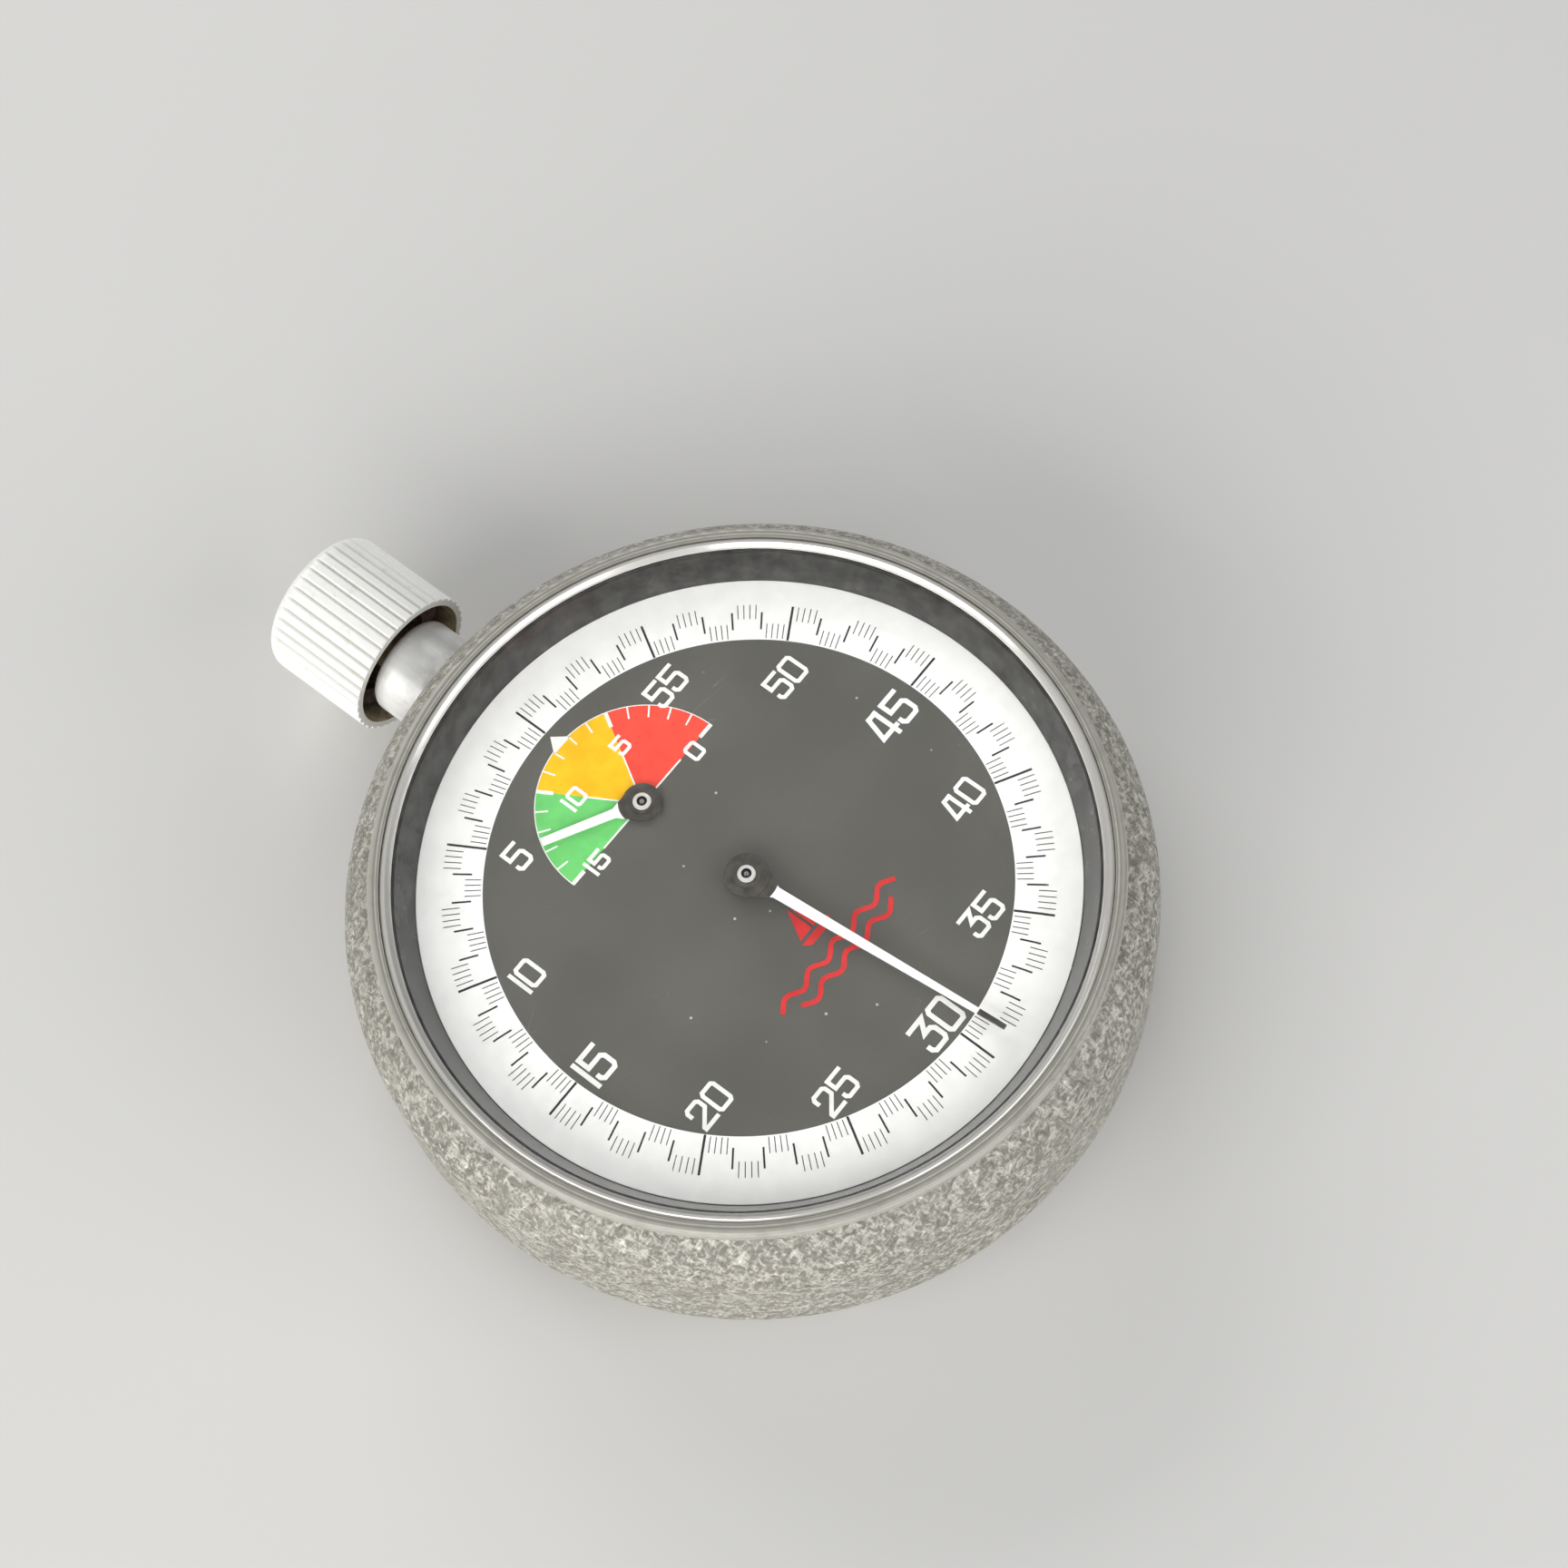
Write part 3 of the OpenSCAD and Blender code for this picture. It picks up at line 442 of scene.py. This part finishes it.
LOOKS = {
    "case_grey": case_look(),
    "back_steel": metal("back_turned", (0.62, 0.61, 0.59), 0.27, 0.16, 0.10, (0.0, 0.0)),
    "black_rubber": rubber_look("rubber_dark", (0.012, 0.012, 0.012), (0.04, 0.038, 0.034)),
    "bezel_chrome": metal("bezel_bright", (0.93, 0.92, 0.88), 0.16, 0.05, 0.05, (0.0, 0.0), 0.6),
    "crystal_clear": crystal_look(),
    "black_matte": lacquer("flange_black", (0.028, 0.027, 0.024), 0.24, 0.3, 0.0, 0.5),
    "dial_black": dial_look(),
    "neck_nickel": neck_look(),
    "crown_aluminium": crown_look(),
    "brass_raw": metal("brass_turned", (0.78, 0.60, 0.30), 0.30, 0.2, 0.14, (0.0, 0.0)),
    "plate_nickel": metal("plate_frosted", (0.74, 0.70, 0.60), 0.34, 0.15, 0.10),
    "steel_satin": metal("steel_grained", (0.58, 0.58, 0.60), 0.28, 0.12, 0.10),
    "steel_blue": metal("steel_blued", (0.07, 0.11, 0.36), 0.20, 0.12, 0.15),
    "spring_steel": metal("spring_dark", (0.38, 0.40, 0.46), 0.24, 0.10, 0.12),
    "ruby": ruby_look(),
    "wheel_gilt": metal("wheel_gold", (0.82, 0.66, 0.32), 0.22, 0.12, 0.08),
}
SECONDS_LOOK = hand_look("hand_long", seconds_axis, 0.69 * MM, 2.58 * MM, 21.0 * MM)
MINUTES_LOOK = hand_look("hand_short", counter_axis, 0.71 * MM, 1.92 * MM, 1.0)
SECONDS_ARBOR_LOOK = arbor_look("wheel_long_hand", seconds_axis)
MINUTES_ARBOR_LOOK = arbor_look("wheel_short_hand", counter_axis)
SEAL_LOOK = rubber_look("seal_grimy", (0.06, 0.035, 0.03), (0.30, 0.20, 0.17))

for part in frame["record"]["subparts"]:
    shown = frame["nodes"][part["node"]]
    chosen = {
        "seconds_hand": SECONDS_LOOK,
        "minute_hand": MINUTES_LOOK,
        "crown_seal": SEAL_LOOK,
        "seconds_wheel": SECONDS_ARBOR_LOOK,
        "minute_wheel": MINUTES_ARBOR_LOOK,
    }.get(part["node"]) or LOOKS[part["material_slot"]]
    shown.data.materials.clear()
    shown.data.materials.append(chosen)


# ---------------------------------------------------------------- printed dial

WHITE_INK = lacquer("print_white", (0.88, 0.88, 0.86), 0.42, 0.05, 0.25)
RING_INK = lacquer("ring_white", (0.96, 0.96, 0.945), 0.40, 0.03, 0.1)
BLACK_INK = lacquer("print_black", (0.022, 0.022, 0.023), 0.45, 0.25)
RED_INK = lacquer("print_red", (0.86, 0.075, 0.045), 0.40, 0.08, 0.2)
YELLOW_INK = lacquer("print_yellow", (0.95, 0.52, 0.004), 0.40, 0.08, 0.1)
GREEN_INK = lacquer("print_green", (0.15, 0.60, 0.16), 0.40, 0.08, 0.1)
EMBLEM_INK = lacquer("emblem_red", (0.62, 0.030, 0.030), 0.42, 0.10, 0.2)


def clock(angle):
    """Unit vector at an angle in degrees clockwise from the crown."""
    a = math.radians(angle)
    return Vector((math.sin(a), math.cos(a)))


class Print:
    """A mesh of thin closed prisms that lie on the dial, all in one ink.
    Outlines are in millimetres about a centre on the dial."""

    def __init__(self, name, ink, height, centre=(0.0, 0.0), sink=0.01):
        self.name, self.ink = name, ink
        self.bm = bmesh.new()
        self.z0, self.z1 = dial_top - sink * MM, dial_top + height * MM
        self.centre = Vector(centre)

    def point(self, p, z):
        return self.bm.verts.new((self.centre.x + p[0] * MM, self.centre.y + p[1] * MM, z))

    def strip(self, left, right, closed):
        """Prism between two rows of points; its top is chamfered a little."""
        rows = []
        for a, b in zip(left, right):
            a, b = Vector(a), Vector(b)
            ease = (b - a) * min(0.12, 0.02 / max((b - a).length, 1e-6))
            rows.append((self.point(a, self.z0), self.point(a + ease, self.z1),
                         self.point(b - ease, self.z1), self.point(b, self.z0)))
        count = len(rows)
        for i in range(count if closed else count - 1):
            here, there = rows[i], rows[(i + 1) % count]
            for k in range(4):
                m = (k + 1) % 4
                self.bm.faces.new((here[k], there[k], there[m], here[m]))
        if not closed:
            self.bm.faces.new(rows[0])
            self.bm.faces.new(rows[-1][::-1])

    def band(self, r0, r1, a0=0.0, a1=360.0, step=1.5):
        """Ring or sector between two radii, in steps of about step degrees."""
        closed = abs(a1 - a0) >= 360
        count = max(2, round(abs(a1 - a0) / step))
        stops = count if closed else count + 1
        rays = [clock(a0 + (a1 - a0) * i / count) for i in range(stops)]
        self.strip([d * r0 for d in rays], [d * r1 for d in rays], closed)

    def line(self, points, width, closed=False, lift=0.0):
        """Stroke of constant width with mitred corners; lift raises its top a little so
        that crossing strokes don't share a surface."""
        top, self.z1 = self.z1, self.z1 + lift * MM
        pts = [Vector(p) for p in points]
        n = len(pts)
        left, right = [], []
        for i, p in enumerate(pts):
            before = pts[i - 1] if closed or i else None
            after = pts[(i + 1) % n] if closed or i < n - 1 else None
            ways = [w.normalized() for w in
                    ([p - before] if before is not None else [])
                    + ([after - p] if after is not None else [])]
            sides = [Vector((-w.y, w.x)) for w in ways]
            mitre = sum(sides, Vector((0, 0))).normalized()
            reach = width / 2 / max(mitre.dot(sides[0]), 0.35)
            left.append(p + mitre * reach)
            right.append(p - mitre * reach)
        self.strip(left, right, closed)
        self.z1 = top

    def ray(self, angle, r0, r1, width):
        """Straight mark that points at the centre."""
        self.line([clock(angle) * r0, clock(angle) * r1], width)

    def patch(self, outline):
        """Flat prism over a convex outline."""
        low = [self.point(p, self.z0) for p in outline]
        high = [self.point(p, self.z1) for p in outline]
        self.bm.faces.new(high)
        self.bm.faces.new(low[::-1])
        for i in range(len(outline)):
            j = (i + 1) % len(outline)
            self.bm.faces.new((low[i], low[j], high[j], high[i]))

    def done(self):
        """Turns the prisms into one piece that rides on the case."""
        bmesh.ops.recalc_face_normals(self.bm, faces=self.bm.faces)
        mesh = bpy.data.meshes.new(self.name)
        self.bm.to_mesh(mesh)
        self.bm.free()
        mesh.materials.append(self.ink)
        piece = bpy.data.objects.new(self.name, mesh)
        bpy.context.scene.collection.objects.link(piece)
        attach(piece, "case")


# Strokes of the numerals in a box one unit wide and one unit high, origin at its middle.
# Each stroke is (points, closed).
GLYPHS = {
    "0": [([(-0.5, 0.40), (-0.38, 0.5), (0.38, 0.5), (0.5, 0.40),
            (0.5, -0.40), (0.38, -0.5), (-0.38, -0.5), (-0.5, -0.40)], True)],
    "1": [([(0, 0.5), (0, -0.5)], False)],
    "2": [([(-0.5, 0.24), (-0.5, 0.40), (-0.36, 0.5), (0.36, 0.5), (0.5, 0.40), (0.5, 0.10),
            (-0.5, -0.40), (-0.5, -0.5), (0.5, -0.5)], False)],
    "3": [([(-0.5, 0.5), (0.44, 0.5), (-0.08, 0.1), (0.34, 0.1), (0.5, -0.02),
            (0.5, -0.39), (0.36, -0.5), (-0.36, -0.5), (-0.5, -0.39), (-0.5, -0.30)], False)],
    "4": [([(0.33, 0.5), (-0.14, 0.5), (-0.5, -0.30), (0.52, -0.30)], False),
          ([(0.33, 0.5), (0.33, -0.5)], False)],
    "5": [([(0.5, 0.5), (-0.5, 0.5), (-0.5, 0.09), (0.36, 0.09), (0.5, -0.02),
            (0.5, -0.39), (0.36, -0.5), (-0.36, -0.5), (-0.5, -0.39), (-0.5, -0.32)], False)],
}


def numeral(sheet, text, x, y, height, width, stroke, gap):
    """Draws a number about x, y; height and width are those of a whole digit."""
    widths = [stroke if c == "1" else width for c in text]
    start = x - (sum(widths) + gap * (len(text) - 1)) / 2
    for c, wide in zip(text, widths):
        mid = start + wide / 2
        for order, (points, closed) in enumerate(GLYPHS[c]):
            path = [Vector((mid + px * (wide - stroke), y + py * (height - stroke)))
                    for px, py in points]
            if not closed:
                path[0] += (path[0] - path[1]).normalized() * stroke / 2
                path[-1] += (path[-1] - path[-2]).normalized() * stroke / 2
            sheet.line(path, stroke, closed, 0.005 * order)
        start += wide + gap


# the white seconds ring and its counter-clockwise scale, in fifths of a second
RING_IN, RING_OUT = 20.68, 25.8
SCALE_IN, SCALE_OUT = 20.72, 23.75
INNER_FIFTHS, OUTER_FIFTHS = (20.82, 22.1), (22.5, SCALE_OUT)
SECOND_MARK = (21.58, 23.1)

ring = Print("seconds_ring", RING_INK, 0.02)
ring.band(RING_IN, RING_OUT, step=1.0)
ring.done()

marks = Print("seconds_marks", BLACK_INK, 0.032)
for fifth in range(300):
    way = -fifth * 1.2
    second, part_of = divmod(fifth, 5)
    if part_of:
        marks.ray(way, *(OUTER_FIFTHS if second % 2 else INNER_FIFTHS), 0.085)
    elif second % 5:
        marks.ray(way, *SECOND_MARK, 0.18)
    else:
        marks.ray(way, SCALE_IN, SCALE_OUT, 0.22)
marks.done()

# every numeral and the middle of its place on the dial; the quarters are larger
NUMERALS = [
    ("5", -9.4, 15.6), ("10", -16.4, 8.55), ("15", -18.8, -0.26), ("20", -16.0, -9.15),
    ("25", -9.4, -16.1), ("30", -0.5, -18.85), ("35", 8.6, -16.2), ("40", 15.4, -9.2),
    ("45", 17.6, -0.4), ("50", 15.3, 8.45), ("55", 8.95, 15.6),
]
QUARTER_SIZE = (2.9, 1.97, 0.41, 0.16)
SMALL_SIZE = (2.4, 1.64, 0.35, 0.16)
numbers = Print("seconds_numerals", WHITE_INK, 0.045)
for text, x, y in NUMERALS:
    numeral(numbers, text, x, y, *(SMALL_SIZE if int(text) % 15 else QUARTER_SIZE))
numbers.done()

# the fifteen-minute counter: 0 at three o'clock, running counter-clockwise
EDGE = 8.5
HUB_R = 0.96
hub = (counter_axis.x, counter_axis.y)


def minute_way(m):
    """Clock angle of minute m on the counter."""
    return 90 - 12 * m


for name, ink, first in (("counter_red", RED_INK, 0), ("counter_yellow", YELLOW_INK, 5),
                         ("counter_green", GREEN_INK, 10)):
    field = Print(name, ink, 0.015, hub)
    field.band(HUB_R, EDGE, minute_way(first), minute_way(first + 5), 2.0)
    field.done()

scale = Print("counter_scale", WHITE_INK, 0.03, hub)
for m in range(16):
    if m % 5:
        scale.ray(minute_way(m), EDGE - 1.05, EDGE - 0.04, 0.17)
    else:
        scale.ray(minute_way(m), EDGE - 1.35, EDGE + 0.05, 0.34)
        scale.ray(minute_way(m), HUB_R + 0.04, 4.75, 0.16)
scale.done()
rim = Print("counter_rim", WHITE_INK, 0.024, hub)
rim.band(EDGE - 0.02, EDGE + 0.07, minute_way(0), minute_way(15), 2.0)
rim.done()

minutes = Print("counter_numerals", WHITE_INK, 0.045, hub)
for text, x, y in (("0", 5.98, -0.42), ("5", 2.78, 4.58), ("10", -2.9, 4.56), ("15", -5.95, -0.35)):
    numeral(minutes, text, x, y, 1.62, 1.31, 0.31, 0.2)
minutes.done()

pointer = Print("counter_pointer", WHITE_INK, 0.03, hub)
pointer.patch([(-1.0, 8.3), (1.0, 8.3), (0.0, 9.55)])
pointer.done()

# a plain red emblem: a small sailing boat over two waves; corners in millimetres
boat = Print("emblem_boat", EMBLEM_INK, 0.03)
boat.patch([(-0.12, -4.0), (-0.12, -6.45), (-1.5, -6.45)])
boat.patch([(0.12, -4.3), (1.15, -6.45), (0.12, -6.45)])
boat.patch([(-1.75, -6.75), (1.6, -6.75), (1.05, -7.35), (-1.2, -7.35)])
boat.done()

waves = Print("emblem_waves", EMBLEM_INK, 0.03)
WAVE_LENGTH, WAVE_HEIGHT, WAVE_STEPS = 2.9, 0.34, 120
for level, reach in ((-8.75, 7.0), (-10.1, 5.6)):
    across = [reach * (2 * i / WAVE_STEPS - 1) for i in range(WAVE_STEPS + 1)]
    waves.line([(x, level + WAVE_HEIGHT * math.cos(2 * math.pi * x / WAVE_LENGTH))
                for x in across], 0.42)
waves.done()


# ---------------------------------------------------------------- floor, light, camera


def floor_piece():
    """Plain floor a hair below the case, so that the two don't share a surface."""
    bm = bmesh.new()
    bmesh.ops.create_grid(bm, x_segments=8, y_segments=8, size=1.6)
    mesh = bpy.data.meshes.new("floor")
    bm.to_mesh(mesh)
    bm.free()
    mesh.materials.append(floor_look())
    piece = bpy.data.objects.new("floor", mesh)
    piece.location.z = cad_low.z - 0.02 * MM
    bpy.context.scene.collection.objects.link(piece)


def soft_light(name, place, target, size, power, tint=(1.0, 1.0, 1.0)):
    """Rectangular lamp of size metres at place, turned to target; power in watts."""
    data = bpy.data.lights.new(name, "AREA")
    data.shape, data.size, data.size_y = "RECTANGLE", *size
    data.energy, data.color = power, tint
    light = bpy.data.objects.new(name, data)
    light.location = place
    light.rotation_mode = "QUATERNION"
    light.rotation_quaternion = (Vector(target) - Vector(place)).to_track_quat("-Z", "Y")
    bpy.context.scene.collection.objects.link(light)


floor_piece()
MIDDLE = (0.0, 0.0, 0.012)
WARM = (1.0, 0.99, 0.97)
soft_light("key", (0.24, 0.54, 0.32), MIDDLE, (0.62, 0.34), 2.1, WARM)
soft_light("left", (-0.55, -0.05, 0.24), MIDDLE, (0.80, 0.46), 3.9, WARM)
soft_light("front", (0.08, -0.55, 0.30), MIDDLE, (0.70, 0.42), 2.1)

world = bpy.data.worlds.new("studio")
world.use_nodes = True
sky = world.node_tree.nodes["Background"]
sky.inputs["Color"].default_value = (0.95, 0.97, 1.0, 1.0)
sky.inputs["Strength"].default_value = 0.26
bpy.context.scene.world = world
bpy.context.scene.view_settings.view_transform = "Standard"

CAMERA_AT = Vector((-0.05969, -0.07017, 0.24103))
LOOKS_AT = Vector((0.00814, 0.00291, 0.0152))
CAMERA_ROLL = math.radians(-9.32)
SENSOR_MM, FOCAL_MM = 36.0, 72.0
lens = bpy.data.cameras.new("camera")
lens.sensor_width, lens.lens = SENSOR_MM, FOCAL_MM
lens.clip_start = 0.01
camera = bpy.data.objects.new("camera", lens)
camera.location = CAMERA_AT
camera.rotation_mode = "QUATERNION"
camera.rotation_quaternion = (LOOKS_AT - CAMERA_AT).to_track_quat("-Z", "Y") @ Quaternion(
    (0, 0, 1), CAMERA_ROLL)
bpy.context.scene.collection.objects.link(camera)
bpy.context.scene.camera = camera
